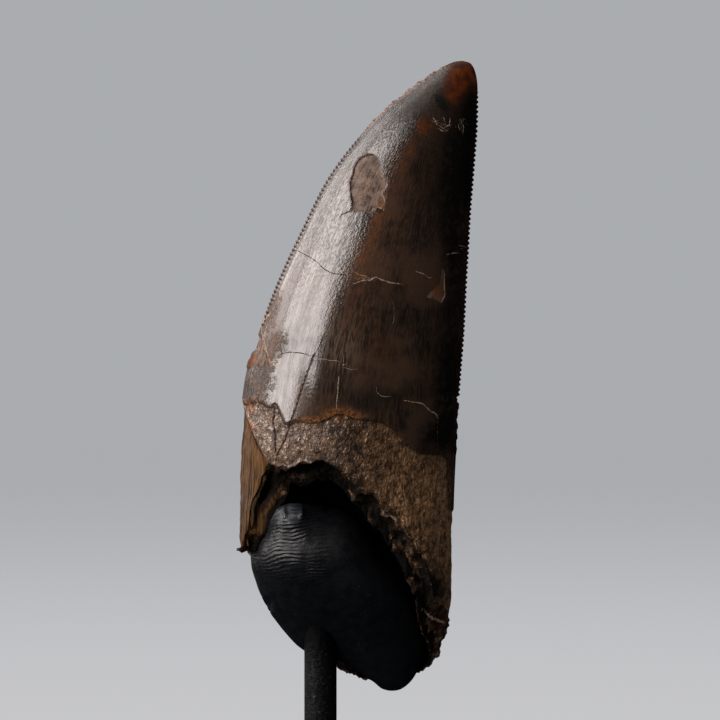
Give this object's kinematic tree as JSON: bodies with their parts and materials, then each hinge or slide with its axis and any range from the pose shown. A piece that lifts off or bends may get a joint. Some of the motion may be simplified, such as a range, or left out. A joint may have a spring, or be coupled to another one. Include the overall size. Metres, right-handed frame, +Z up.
{
  "type": "fossil tyrannosaurus tooth",
  "caption": "Curved fossil carnivore tooth with serrated edges and a broken hollow root, held upright by a moulded putty cradle on a thin rod and a round base.",
  "frame": {"origin": "centre of the base's underside, on the rod's axis", "axes": "+Z up along the rod, +X towards the tooth's rear (distal) cutting edge, -Y out of the face that is shown"},
  "size_m": [0.072, 0.072, 0.1471],
  "materials": {
    "fossil": "dark brown mineralised enamel, satin, over rough grey-brown dentine",
    "putty": "black moulded epoxy putty, satin",
    "rod_paint": "rough black paint on steel",
    "base_paint": "satin black paint on steel"
  },
  "bodies": {
    "root": {"tooth": "fossil", "cradle": "putty", "rod": "rod_paint", "base": "base_paint"}
  },
  "joints": []
}
